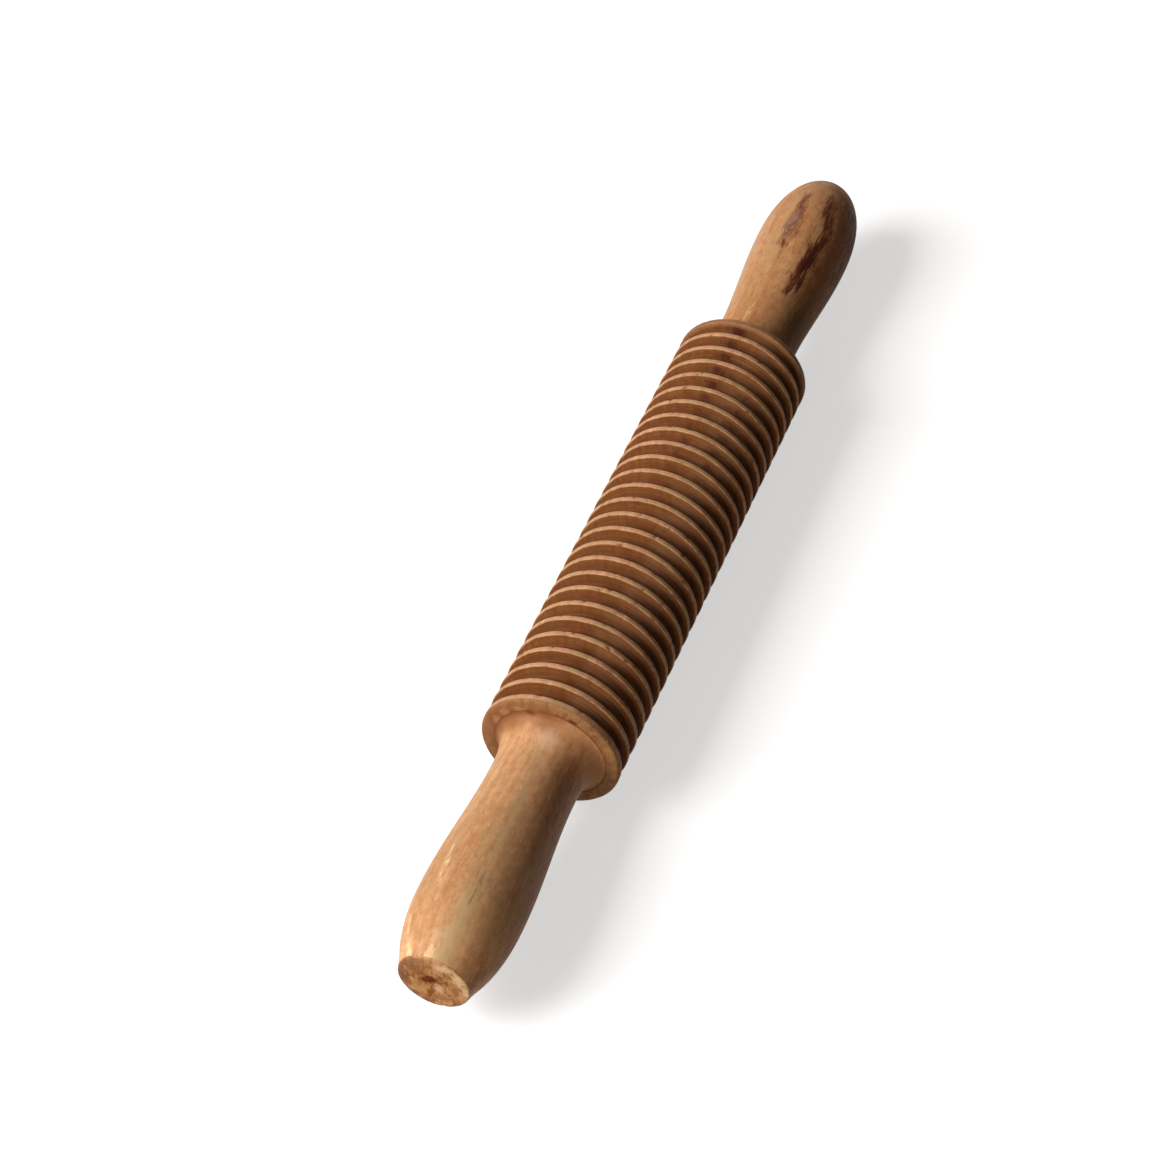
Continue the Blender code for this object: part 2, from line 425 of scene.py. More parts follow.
def plug_outline():
    """The plug in the left handle's end: its face is a little sunk and has the lathe's centre mark.

    The face has many rings of points, which the saw's roughness moves.
    """
    face = left_handle_end - plug_sunk
    inner_end = left_handle_end - plug_length
    edge = (face, plug_radius)
    rim = plug_radius - pocket_rounding
    rings = []
    for i in range(1, face_steps + 1):
        rings.append((face, rim + (centre_mark_radius - rim) * i / face_steps))
    return (
        [(inner_end, 0.0), (inner_end, plug_radius)]
        + rounded(edge, (inner_end, plug_radius), (face, 0.0), pocket_rounding)
        + rings
        + [(face - centre_mark_depth, centre_mark_radius / 3), (face - centre_mark_depth, 0.0)]
    )


def mirrored(outline):
    """The same outline at the pin's other end."""
    return [(-x, r) for x, r in reversed(outline)]


# Geometry Nodes

def ribs_tree():
    """Sets copies of a rib's outline in a row along X and joins them to the outline of both ends."""
    network, given = new_group(
        "Ribs along a barrel",
        {"Ends": "Geometry", "Rib": "Object", "Rib count": rib_count, "Rib pitch": rib_pitch},
        {"Outline": "Geometry"},
        "GeometryNodeTree",
    )
    rib = network.node("GeometryNodeObjectInfo", {"Object": given["Rib"]}).outputs["Geometry"]
    half_row = network.times(network.minus(given["Rib count"], 1), 0.5)
    first = network.times(network.times(half_row, given["Rib pitch"]), -1.0)
    line = network.shape(
        "GeometryNodeMeshLine",
        Count=given["Rib count"],
        Start_Location=network.join(first, 0.0, 0.0),
        Offset=network.join(given["Rib pitch"], 0.0, 0.0),
    )
    row = network.shape("GeometryNodeInstanceOnPoints", Points=line, Instance=rib)
    flat_row = network.shape("GeometryNodeRealizeInstances", Geometry=row)
    both = network.node("GeometryNodeJoinGeometry")
    for geometry in (given["Ends"], flat_row):
        network.tree.links.new(geometry, both.inputs[0])
    outline = network.shape("GeometryNodeMergeByDistance", Geometry=both.outputs[0], Distance=weld)
    return network.give(Outline=outline)


def lathe_tree():
    """Turns a half section, drawn as X along the axle and Y out from it, into a solid round the axle.

    The wood's slow movement leaves it a little out of round. Hard use leaves nicks in whatever stands
    proud of a given radius and along one edge, given by its place and radius. The end beyond a given
    place is left rough from the saw. All of it only takes wood away, and follows fixed noise.
    """
    network, given = new_group(
        "Turned on a lathe",
        {
            "Section": "Geometry",
            "Facets": handle_facets,
            "Axle height": axle_height,
            "Out of round": 0.0001,
            "Round up to radius": 0.0,
            "Nick depth": 0.0,
            "Nick size": 0.002,
            "Nicks above radius": 1.0,
            "Worn edge place": 1.0,
            "Worn edge radius": 0.0,
            "Worn edge reach": 0.001,
            "Rough beyond": 1.0,
            "Rough depth": 0.0,
            "Seed": 1.0,
            "Finish": "Material",
        },
        {"Solid": "Geometry"},
        "GeometryNodeTree",
    )
    # The section is swept along a circle, and is drawn from that circle's line
    path_radius = 0.01
    turn_to_x = (0.0, math.pi / 2, 0.0)
    curve = network.shape("GeometryNodeMeshToCurve", Mesh=given["Section"])
    x, y, _ = network.split(network.shape("GeometryNodeInputPosition"))
    across = network.join(network.minus(y, path_radius), network.times(x, -1.0), 0.0)
    profile = network.shape("GeometryNodeSetPosition", Geometry=curve, Position=across)
    circle = network.shape(
        "GeometryNodeCurvePrimitiveCircle", Resolution=given["Facets"], Radius=path_radius
    )
    swept = network.shape("GeometryNodeCurveToMesh", Curve=circle, Profile_Curve=profile)
    along_x = network.shape("GeometryNodeTransform", Geometry=swept, Rotation=turn_to_x)
    solid = network.shape("GeometryNodeMergeByDistance", Geometry=along_x, Distance=weld)

    around = network.shape("GeometryNodeInputPosition")
    ax, ay, az = network.split(around)
    from_middle = network.math("ABSOLUTE", ax)
    side = network.math("SIGN", ax)
    radius = network.off_axis(ay, az)
    outward = network.vector_math("NORMALIZE", network.join(0.0, ay, az))
    seeded = network.vector_math("ADD", around, network.join(given["Seed"], 0.0, 0.0))
    past_round = network.minus(radius, given["Round up to radius"])
    out_of_round = network.times(given["Out of round"], network.ramp(past_round, 0.0, 0.001))
    swing = network.times(network.noise(seeded, 22.0, 1.0), out_of_round)
    nick_scale = network.over(1.0, given["Nick size"])
    bite = network.ramp(network.noise(seeded, nick_scale, 2.0), 0.58, 0.74)
    proud = network.ramp(network.minus(radius, given["Nicks above radius"]), 0.0, 0.0006)
    off_edge = network.join(
        network.minus(from_middle, given["Worn edge place"]),
        network.minus(radius, given["Worn edge radius"]),
        0.0,
    )
    edge_share = network.over(network.vector_math("LENGTH", off_edge), given["Worn edge reach"])
    on_edge = network.ramp(edge_share, 1.0, 0.2)
    depth = network.times(bite, given["Nick depth"])
    nick = network.times(depth, network.math("MAXIMUM", proud, on_edge))
    edge_nick = network.times(depth, on_edge)
    beyond = network.minus(from_middle, given["Rough beyond"])
    sawn = network.times(network.noise(seeded, 420.0, 4.0, 0.7), given["Rough depth"])
    rough = network.times(sawn, network.ramp(beyond, 0.0, 0.0006))
    inward = network.plus(swing, nick)
    back = network.times(network.plus(rough, edge_nick), side)
    shift = network.node("ShaderNodeVectorMath", {"Vector": outward, "Scale": inward}, operation="SCALE")
    cut = network.vector_math("ADD", shift.outputs["Vector"], network.join(back, 0.0, 0.0))
    worn_place = network.vector_math("SUBTRACT", around, cut)
    worn = network.shape("GeometryNodeSetPosition", Geometry=solid, Position=worn_place)
    lift = network.join(0.0, 0.0, given["Axle height"])
    raised = network.shape("GeometryNodeTransform", Geometry=worn, Translation=lift)
    real = network.shape("GeometryNodeRealizeInstances", Geometry=raised)
    finished = network.shape("GeometryNodeSetMaterial", Geometry=real, Material=given["Finish"])
    return network.give(Solid=finished)


def add_nodes(piece, tree, **values):
    """Puts a Geometry Nodes modifier on a piece and sets its inputs by their sockets' identifiers."""
    modifier = piece.modifiers.new(tree.name, "NODES")
    modifier.node_group = tree
    sockets = {item.name: item.identifier for item in tree.interface.items_tree if item.in_out == "INPUT"}
    for name, value in values.items():
        modifier[sockets[name.replace("_", " ")]] = value


def drawn(name, points, closed):
    """An object that holds an outline as a chain of edges."""
    mesh = bpy.data.meshes.new(name)
    edges = [(i, i + 1) for i in range(len(points) - 1)]
    if closed:
        edges.append((len(points) - 1, 0))
    mesh.from_pydata([(x, r, 0.0) for x, r in points], edges, [])
    return placed(name, mesh)


def baked(piece, name):
    """A plain mesh object from what a piece's modifiers make, smooth but for its hard edges."""
    depsgraph = bpy.context.evaluated_depsgraph_get()
    mesh = bpy.data.meshes.new_from_object(piece.evaluated_get(depsgraph))
    bpy.data.objects.remove(piece)
    shape = bmesh.new()
    shape.from_mesh(mesh)
    bmesh.ops.remove_doubles(shape, verts=shape.verts, dist=weld)
    bmesh.ops.recalc_face_normals(shape, faces=shape.faces)
    shape.to_mesh(mesh)
    shape.free()
    mesh.shade_smooth()
    mesh.set_sharp_from_angle(angle=sharp_edge)
    mesh.name = name
    return placed(name, mesh)


def turned(name, points, tree, **values):
    """A piece turned from its half section. A section that starts on the axis is left open there."""
    section = drawn(name + "_section", points, closed=points[0][1] > 0)
    add_nodes(section, tree, **values)
    return baked(section, name)


# Shader groups

def beech_group():
    """Oiled beech: slow bands of tone, growth rings round a far pith, mottling, pores and ray flecks.

    The grain runs along X, so a face square to X shows it end on.
    """
    network, given = new_group(
        "Beech",
        {
            "Place": "Vector",
            "Pale": (0.72, 0.39, 0.19, 1.0),
            "Deep": (0.46, 0.20, 0.075, 1.0),
            "Dull": (0.48, 0.30, 0.14, 1.0),
            "Pore": (0.24, 0.085, 0.028, 1.0),
            "Ray": (0.80, 0.52, 0.30, 1.0),
            "Blush": (0.50, 0.20, 0.085, 1.0),
        },
        {"Color": "Color", "Pores": "Float", "Tone": "Float"},
    )
    x, y, z = network.split(given["Place"])

    def stretched(share, offset=0.0):
        """The place with its run along the grain shortened, so that what is drawn there is drawn out."""
        return network.join(network.times_plus(x, share, offset), y, z)

    warp = network.times(network.noise(stretched(0.07), 70.0, 2.0), 0.004)
    pith_y, pith_z, ring_width = 0.035, -0.021, 0.0031
    ring = network.plus(network.off_axis(network.plus(y, pith_y), network.plus(z, pith_z)), warp)
    late_wood = network.ramp(network.math("FRACT", network.over(ring, ring_width)), 0.35, 1.0)
    bands = network.ramp(network.noise(stretched(0.12), 150.0, 3.0, 0.6), 0.32, 0.70)
    mottle = network.ramp(network.noise(stretched(0.65), 430.0, 4.0, 0.75), 0.38, 0.62)
    blush = network.ramp(network.noise(stretched(0.80, 0.9), 300.0, 4.0, 0.75), 0.53, 0.66)
    tone = network.times_plus(mottle, 0.40, network.times(bands, 0.42))
    tone = network.times_plus(late_wood, 0.18, tone)
    dull = network.ramp(network.noise(stretched(0.14, 0.5), 120.0, 3.0, 0.6), 0.46, 0.68)
    pores = network.ramp(network.noise(stretched(0.14), 1500.0, 2.0, 0.6), 0.60, 0.72)
    rays = network.ramp(network.noise(stretched(0.35, 0.2), 1000.0, 2.0, 0.6), 0.62, 0.74)
    wood = network.mix(tone, given["Pale"], given["Deep"])
    marks = ((dull, 0.65, "Dull"), (blush, 0.45, "Blush"), (rays, 0.30, "Ray"), (pores, 0.30, "Pore"))
    for mask, strength, tint in marks:
        wood = network.lay(wood, mask, strength, given[tint])
    return network.give(Color=wood, Pores=pores, Tone=tone)


def streak_group():
    """A streak that follows the grain: a mask round a line between two places along X.

    Its angle round the pin may lean from one place to the other, and it is widest at a given share of
    its length. The mask falls off raggedly at the sides, is drawn into fibres by the grain and may be
    broken into bits.
    """
    network, given = new_group(
        "Grain streak",
        {
            "Place": "Vector",
            "Start": 0.0,
            "End": 0.1,
            "Start angle": 0.0,
            "End angle": 0.0,
            "Width": 0.1,
            "Fullest": 0.5,
            "Raggedness": 1.0,
            "Broken": 0.0,
        },
        {"Mask": "Float"},
    )
    x, y, z = network.split(given["Place"])
    angle = network.math("ARCTAN2", y, z)
    run = network.minus(given["End"], given["Start"])
    share = network.over(network.minus(x, given["Start"]), run)
    lean = network.minus(given["End angle"], given["Start angle"])
    centre = network.times_plus(share, lean, given["Start angle"])
    drawn_out = network.join(network.times(x, 0.16), y, z)
    wander = network.times(network.uneven(drawn_out, 700.0, 4.0, 0.65), given["Width"])
    fine = network.uneven(network.join(network.times(x, 0.10), y, z), 1900.0, 3.0, 0.7)
    away = network.math("ABSOLUTE", network.minus(angle, centre))
    growing = network.over(share, given["Fullest"])
    shrinking = network.over(network.minus(1.0, share), network.minus(1.0, given["Fullest"]))
    fullness = network.math("MAXIMUM", network.math("MINIMUM", growing, shrinking), 0.0)
    half = network.times(network.times(given["Width"], network.math("SQRT", fullness)), 0.5)
    inside = network.minus(network.times_plus(wander, given["Raggedness"], half), away)
    soft = network.times_plus(fine, 0.9, network.over(inside, given["Width"]))
    mask = network.ramp(soft, -0.14, 0.40)
    ends = network.times(network.ramp(share, 0.0, 0.12), network.ramp(share, 1.0, 0.88))
    bits = network.noise(network.join(network.times(x, 0.7), y, z), 700.0, 2.0, 0.6)
    gaps = network.times(network.ramp(bits, 0.42, 0.56, 1.0, 0.0), given["Broken"])
    left = network.times(ends, network.minus(1.0, gaps))
    return network.give(Mask=network.times(mask, left))


def spot_group():
    """A ragged spot: a mask round a point, with its own reach along each axis."""
    network, given = new_group(
        "Ragged spot",
        {"Place": "Vector", "Centre": (0.0, 0.0, 0.0), "Reach": (0.001, 0.001, 0.001), "Raggedness": 1.0},
        {"Mask": "Float"},
    )
    away = network.vector_math("SUBTRACT", given["Place"], given["Centre"])
    share = network.vector_math("LENGTH", network.vector_math("DIVIDE", away, given["Reach"]))
    torn = network.uneven(given["Place"], 900.0, 3.0, 0.7)
    reach = network.times_plus(torn, given["Raggedness"], share)
    return network.give(Mask=network.ramp(reach, 1.05, 0.35))


def end_grain_group():
    """Wood cut square across: soft patches of pale and brown, broken up by smaller torn ones."""
    network, given = new_group(
        "End grain",
        {"Place": "Vector", "Pale": (0.52, 0.265, 0.108, 1.0), "Brown": (0.235, 0.088, 0.026, 1.0)},
        {"Color": "Color", "Torn": "Float"},
    )
    _, y, z = network.split(given["Place"])
    flat = network.join(0.0, y, network.times(z, 0.6))
    broad = network.noise(flat, 210.0, 3.0, 0.6)
    torn = network.noise(flat, 800.0, 4.0, 0.75)
    tone = network.times_plus(broad, 0.45, network.times(torn, 0.55))
    colour = network.mix(network.ramp(tone, 0.42, 0.59), given["Pale"], given["Brown"])
    return network.give(Color=colour, Torn=torn)


def crease_shade_group():
    """Brown painted shade on a handle's flare, in the crease beside the barrel: full beside the barrel,
    uneven, and weaker on the shaded side.
    """
    network, given = new_group(
        "Shoulder stain",
        {"Place": "Vector", "Shoulder place": 0.0, "Reach": 0.006},
        {"Mask": "Float"},
    )
    x, y, z = network.split(given["Place"])
    away = network.minus(network.math("ABSOLUTE", x), given["Shoulder place"])
    uneven = network.uneven(given["Place"], 170.0, 3.0, 0.6)
    away = network.times_plus(uneven, given["Reach"], away)
    near = network.ramp(network.over(away, given["Reach"]), 1.15, 0.0)
    side = network.ramp(network.math("ARCTAN2", y, z), -0.65, 0.05, 0.40, 1.0)
    return network.give(Mask=network.times(near, side))


def lathe_marks_group():
    """Fine rings left by the turning tool, on sides and ends alike, as a height."""
    network, given = new_group(
        "Lathe marks", {"Place": "Vector", "Marks per metre": 1800.0}, {"Height": "Float"}
    )
    x, y, z = network.split(given["Place"])
    along_and_out = network.join(x, network.off_axis(y, z), 0.0)
    return network.give(Height=network.noise(along_and_out, given["Marks per metre"], 1.0))


# Materials

def new_material(name):
    """A new material, its network and its shader."""
    made = bpy.data.materials.new(name)
    made.use_nodes = True
    return made, Network(made.node_tree), made.node_tree.nodes["Principled BSDF"]


def place_on_axle(network, turn=0.0):
    """Object coordinates measured from the axle's line, turned about it so that the grain differs."""
    place = network.node("ShaderNodeTexCoord").outputs["Object"]
    feeds = {"Vector": place, "Location": (0.0, 0.0, -axle_height)}
    centred = network.node("ShaderNodeMapping", feeds).outputs[0]
    return network.node("ShaderNodeMapping", {"Vector": centred, "Rotation": (turn, 0.0, 0.0)}).outputs[0]


def finish_surface(network, shader, relief, strength, depth=0.0002, **values):
    """Sets the shader's own sockets and gives it a bump from a relief."""
    bump = network.node("ShaderNodeBump", {"Strength": strength, "Distance": depth, "Height": relief})
    network.feed(shader.inputs, {**values, "Normal": bump.outputs[0]})


def add_streaks(network, groups, place, colour, streaks):
    """Lays streaks over a colour.

    Each is given as its start, end, start angle, end angle, width, fullest share, raggedness, share
    broken away, strength and tint; the angles and the width are in degrees round the pin.
    """
    for start, end, start_angle, end_angle, width, fullest, ragged, broken, strength, tint in streaks:
        streak = network.use(
            groups["streak"],
            Place=place,
            Start=start,
            End=end,
            Start_angle=math.radians(start_angle),
            End_angle=math.radians(end_angle),
            Width=math.radians(width),
            Fullest=fullest,
            Raggedness=ragged,
            Broken=broken,
        )["Mask"]
        colour = network.lay(colour, streak, strength, tint)
    return colour


def add_spots(network, groups, place, colour, spots):
    """Lays spots over a colour, each given as its centre, reach, raggedness, strength and tint."""
    for centre, reach, ragged, strength, tint in spots:
        spot = network.use(groups["spot"], Place=place, Centre=centre, Reach=reach, Raggedness=ragged)
        colour = network.lay(colour, spot["Mask"], strength, tint)
    return colour


def handle_finish(groups, name, turn, tones, streaks, spots=(), cut_beyond=1.0, shine=wood_shine):
    """Smooth oiled handle wood, with its own marks laid over the grain, painted shade on its flare beside
    the barrel, and end grain past its cut.
    """
    material, network, shader = new_material(name)
    place = place_on_axle(network)
    wood = network.use(groups["beech"], Place=place_on_axle(network, turn), **tones)
    colour = add_streaks(network, groups, place, wood["Color"], streaks)
    # Painted shade in the crease between the flare and the barrel
    for reach, strength, tint in flare_crease_shades:
        crease_shade = network.use(groups["crease_shade"], Place=place, Shoulder_place=barrel_end, Reach=reach)
        colour = network.lay(colour, crease_shade["Mask"], strength, tint)
    from_middle = network.math("ABSOLUTE", network.split(place)[0])
    cut = network.ramp(from_middle, cut_beyond, cut_beyond + 0.0003)
    colour = network.mix(cut, colour, network.use(groups["end_grain"], Place=place)["Color"])
    colour = add_spots(network, groups, place, colour, spots)
    marks = network.use(groups["marks"], Place=place)["Height"]
    relief = network.minus(network.times(marks, 0.4), wood["Pores"])
    roughness = network.times_plus(wood["Tone"], 0.12, 0.48)
    finish_surface(
        network, shader, relief, 0.15, Base_Color=colour, Roughness=roughness, Specular_IOR_Level=shine
    )
    return material


def right_handle_finish(groups):
    """The right handle's wood, browner, with dark red streaks round its dome, paler scrapes, painted shade
    down its shaded side and painted sheen along its lit side.
    """
    return handle_finish(
        groups,
        "right_handle_wood",
        turn=0.6,
        tones={"Pale": (0.68, 0.345, 0.155), "Deep": (0.44, 0.175, 0.060)},
        streaks=(
            # The first three are painted shade: darker, redder wood down the shaded side, darkest along its
            # edge toward the tip
            (0.0700, 0.2150, -66.0, -60.0, 66.0, 0.50, 1.0, 0.0, 0.55, rusty),
            (0.1200, 0.1950, -100.0, -92.0, 62.0, 0.60, 1.0, 0.0, 0.90, ruby),
            (0.1480, 0.1800, -86.0, -84.0, 56.0, 0.55, 1.0, 0.0, 0.95, sooty),
            # Painted sheen along the lit side
            (0.0700, 0.2100, 70.0, 70.0, 76.0, 0.50, 1.0, 0.0, 0.35, painted_sheen),
            (0.0950, 0.1080, 10.0, 5.5, 6.0, 0.50, 2.6, 0.9, 0.35, bare),
            (0.1210, 0.1350, 1.5, 3.5, 5.0, 0.80, 1.6, 0.4, 0.45, reddish),
            (0.1315, 0.1670, 4.0, 3.0, 21.0, 0.28, 1.1, 0.1, 0.90, garnet),
            (0.1350, 0.1540, 4.5, 4.6, 13.0, 0.35, 2.4, 0.7, 0.75, pinkish),
            (0.1320, 0.1370, 3.0, 3.0, 12.0, 0.50, 1.2, 0.0, 0.70, ruby),
            (0.1120, 0.1330, -28.0, -34.0, 27.0, 0.45, 1.6, 0.2, 0.85, garnet),
            (0.1130, 0.1300, -29.0, -33.5, 19.0, 0.50, 1.3, 0.0, 0.90, ruby),
            (0.1220, 0.1460, -33.5, -38.5, 27.0, 0.45, 1.3, 0.0, 0.92, ruby),
            (0.1240, 0.1420, -34.0, -37.5, 14.0, 0.40, 1.4, 0.1, 0.85, sooty),
            (0.1360, 0.1570, -38.5, -34.5, 26.0, 0.50, 1.8, 0.3, 0.80, garnet),
            (0.1450, 0.1680, -34.5, -25.0, 22.0, 0.42, 1.3, 0.0, 0.90, ruby),
        ),
        shine=0.05,
    )


def end_marks():
    """The marks on the left handle's flat end, some on its own wood and some on the plug.

    Each row has a mark's place across and up from the axle, its reach both ways, raggedness, strength
    and tint.
    """
    rows = (
        (0.0050, 0.0050, 0.0052, 0.0046, 1.7, 0.60, brown),
        (0.0018, -0.0004, 0.0040, 0.0028, 1.4, 0.65, brown),
        (0.0004, 0.0017, 0.0028, 0.0018, 1.2, 0.97, burnt),
        (0.0022, 0.0003, 0.0027, 0.0019, 1.2, 0.97, burnt),
        (-0.0016, -0.0026, 0.0021, 0.0024, 1.5, 0.75, sap),
        (-0.0040, 0.0078, 0.0042, 0.0022, 1.7, 0.75, sap),
        (-0.0083, 0.0037, 0.0026, 0.0040, 1.7, 0.75, sap),
        (-0.0100, -0.0015, 0.0014, 0.0040, 1.4, 0.70, sap),
        (-0.0066, -0.0022, 0.0020, 0.0038, 1.6, 0.75, brown),
        (-0.0020, -0.0067, 0.0037, 0.0021, 1.7, 0.60, brown),
        (0.0040, 0.0088, 0.0050, 0.0018, 1.6, 0.80, brown),
        (0.0100, 0.0004, 0.0022, 0.0070, 1.4, 0.85, singed),
        (0.0072, -0.0073, 0.0024, 0.0018, 1.5, 0.90, singed),
    )
    return [
        ((-left_handle_end, y, z), (0.0016, reach_y, reach_z), raggedness, strength, tint)
        for y, z, reach_y, reach_z, raggedness, strength, tint in rows
    ]


def left_handle_finish(groups):
    """The left handle's wood, with rusty streaks, bare scrapes and sawn end grain, painted shade down its
    shaded side, and painted sheen at the edge of the shade and on the flare.
    """
    shoulder_chip = ((-barrel_end - 0.0002, 0.0044, 0.0166), (0.002, 0.0025, 0.0008), 1.5, 0.80, burnt)
    return handle_finish(
        groups,
        "left_handle_wood",
        turn=2.4,
        tones={},
        streaks=(
            # Painted sheen: a pale olive band along the edge of the shade
            (-0.1860, -0.1420, -15.0, -18.0, 32.0, 0.25, 1.2, 0.0, 0.75, olive_sheen),
            (-0.1820, -0.1680, -90.0, -80.0, 30.0, 0.50, 1.2, 0.0, 0.60, rusty),
            # Painted shade: darker wood down the shaded side and along the neck's shaded side
            (-0.1830, -0.0900, -90.0, -90.0, 72.0, 0.50, 1.0, 0.0, 0.45, rusty),
            (-0.1250, -0.0920, -58.0, -58.0, 52.0, 0.70, 1.0, 0.0, 0.40, rusty),
            # Painted highlight on the flare
            (-0.0985, -0.0892, -12.0, -13.0, 32.0, 0.55, 1.0, 0.0, 0.40, painted_sheen),
            # Painted sheen: a narrow olive line at the edge of the shade
            (-0.1500, -0.0980, -20.0, -19.0, 9.0, 0.50, 2.2, 0.0, 0.50, olive_sheen),
            (-0.1590, -0.1450, -19.0, -18.5, 5.0, 0.60, 2.0, 0.6, 0.55, rusty),
            (-0.1570, -0.1370, 20.0, 31.0, 7.0, 0.40, 2.4, 0.9, 0.62, bare),
            (-0.1800, -0.1695, 29.0, 45.5, 12.0, 0.50, 1.7, 0.4, 0.90, bare),
            (-0.1695, -0.1620, 46.0, 49.0, 8.0, 0.50, 2.2, 0.6, 0.65, bare),
            (-0.1800, -0.1660, 3.0, -2.0, 24.0, 0.40, 1.8, 0.0, 0.35, sap),
            (-0.1800, -0.1712, 5.0, 2.5, 17.0, 0.50, 1.8, 0.3, 0.60, bare),
        ),
        spots=end_marks() + [shoulder_chip],
        cut_beyond=left_handle_end - end_grain_reach,
    )


def plug_finish(groups):
    """Sawn end grain with painted shade in the hole at its centre, and stains of its own."""
    material, network, shader = new_material("plug_wood")
    place = place_on_axle(network)
    wood = network.use(groups["end_grain"], Place=place)
    colour = add_spots(network, groups, place, wood["Color"], end_marks())
    depth = network.plus(network.split(place)[0], left_handle_end - plug_sunk)
    # Painted shade: darker the deeper into the centre mark's hole
    hole_shade = network.ramp(depth, centre_mark_depth * 0.25, centre_mark_depth * 0.8)
    colour = network.mix(hole_shade, colour, (0.12, 0.030, 0.006))
    relief = network.times_plus(network.noise(place, 2200.0, 3.0), 0.5, wood["Torn"])
    shine = wood_shine * 0.4
    finish_surface(
        network, shader, relief, 0.45, 0.0003, Base_Color=colour, Roughness=0.75, Specular_IOR_Level=shine
    )
    return material


def groove_colour(network, groups, place, radius, turn):
    """The dark, reddish wood of the flanks and grooves, with painted shade at their floors, painted fill
    light in them on the shaded side, dark streaks and tool marks.
    """
    x, _, _ = network.split(place)
    flank = network.use(
        groups["beech"],
        Place=place,
        Pale=(0.265, 0.098, 0.027),
        Deep=(0.165, 0.049, 0.012),
        Dull=(0.20, 0.081, 0.024),
        Pore=(0.09, 0.023, 0.006),
        Ray=(0.31, 0.133, 0.045),
        Blush=(0.19, 0.047, 0.014),
    )
    # Painted shade: the flanks darken toward the groove floors, where shade falls
    root = network.ramp(radius, crest_radius - groove_depth * 0.6, crest_radius - groove_depth)
    colour = network.lay(flank["Color"], root, 0.5, (0.09, 0.025, 0.007))
    rib_tone = network.ramp(network.noise(network.join(x, 0.0, 0.0), 210.0, 2.0, 0.7), 0.40, 0.62, 0.0, 0.35)
    colour = network.mix(rib_tone, colour, (0.15, 0.043, 0.011))
    # Painted fill light: a pale, uneven patch deep in the grooves on the shaded side
    off_groove_fill = network.math("ABSOLUTE", network.minus(turn, groove_fill_angle))
    cloud = network.uneven(place, 150.0, 4.0, 0.6)
    painted_groove_fill = network.ramp(network.times_plus(cloud, 0.9, off_groove_fill), 0.85, 0.20)
    groove_fill_strength = network.ramp(radius, crest_radius, crest_radius - groove_depth * 0.9, 0.12, 0.74)
    colour = network.lay(colour, painted_groove_fill, groove_fill_strength, groove_fill_tint)
    streaks = (
        (0.010, 0.100, -2.5, -1.5, 13.0, 0.80, 2.0, 0.3, 0.55, (0.090, 0.021, 0.012)),
        (0.046, 0.110, -2.2, -1.2, 17.0, 0.60, 1.6, 0.2, 0.92, (0.070, 0.013, 0.008)),
        (0.014, 0.066, -33.0, -38.0, 19.0, 0.45, 1.8, 0.2, 0.60, (0.085, 0.025, 0.015)),
    )
    streaked = add_streaks(network, groups, place, colour, streaks)
    low = network.ramp(radius, crest_radius - groove_depth * 0.15, crest_radius - groove_depth * 0.55)
    marks = network.use(groups["marks"], Place=place)["Height"]
    turning = network.ramp(marks, 0.40, 0.62, 0.35, 0.0)
    return network.mix(turning, network.mix(low, colour, streaked), (0.12, 0.034, 0.010))


def face_colour(network, groups, place, radius, turn, uneven):
    """The barrel's end faces: end grain, with painted shade along the seam round the shoulder, and painted
    highlights and shade on a ring just outside it.
    """
    sawn = network.use(
        groups["end_grain"], Place=place, Pale=(0.335, 0.166, 0.068), Brown=(0.215, 0.093, 0.034)
    )
    redder = network.ramp(turn, -0.6, 1.0, 0.0, 0.4)
    colour = network.mix(redder, sawn["Color"], (0.27, 0.100, 0.034))
    # Painted shade along the seam round the shoulder, stronger on the shaded side
    from_shoulder = network.times_plus(uneven, 0.0016, network.minus(radius, shoulder_radius))
    painted_seam_shade = network.ramp(from_shoulder, 0.0009, 0.0001)
    seam_shade_strength = network.ramp(turn, -0.35, 0.15, 0.75, 0.20)
    colour = network.lay(colour, painted_seam_shade, seam_shade_strength, (0.20, 0.060, 0.022))
    # Painted highlights on the lit side of a ring just outside the seam, and painted shade on its shaded
    # side
    lip_highlight = (0.47, 0.215, 0.098)
    ring_highlights_and_shade = (
        ((-barrel_end, 0.0161, 0.0092), (0.002, 0.0018, 0.0030), 1.4, 0.70, lip_highlight),
        ((-barrel_end, 0.0128, 0.0134), (0.002, 0.0024, 0.0022), 1.4, 0.70, lip_highlight),
        ((-barrel_end, 0.0080, 0.0167), (0.002, 0.0030, 0.0014), 1.4, 0.70, lip_highlight),
        ((-barrel_end, -0.0088, 0.0163), (0.002, 0.0020, 0.0017), 1.3, 0.90, (0.10, 0.026, 0.008)),
        ((-barrel_end, -0.0150, 0.0106), (0.002, 0.0030, 0.0030), 1.6, 0.40, (0.13, 0.045, 0.014)),
    )
    return add_spots(network, groups, place, colour, ring_highlights_and_shade)


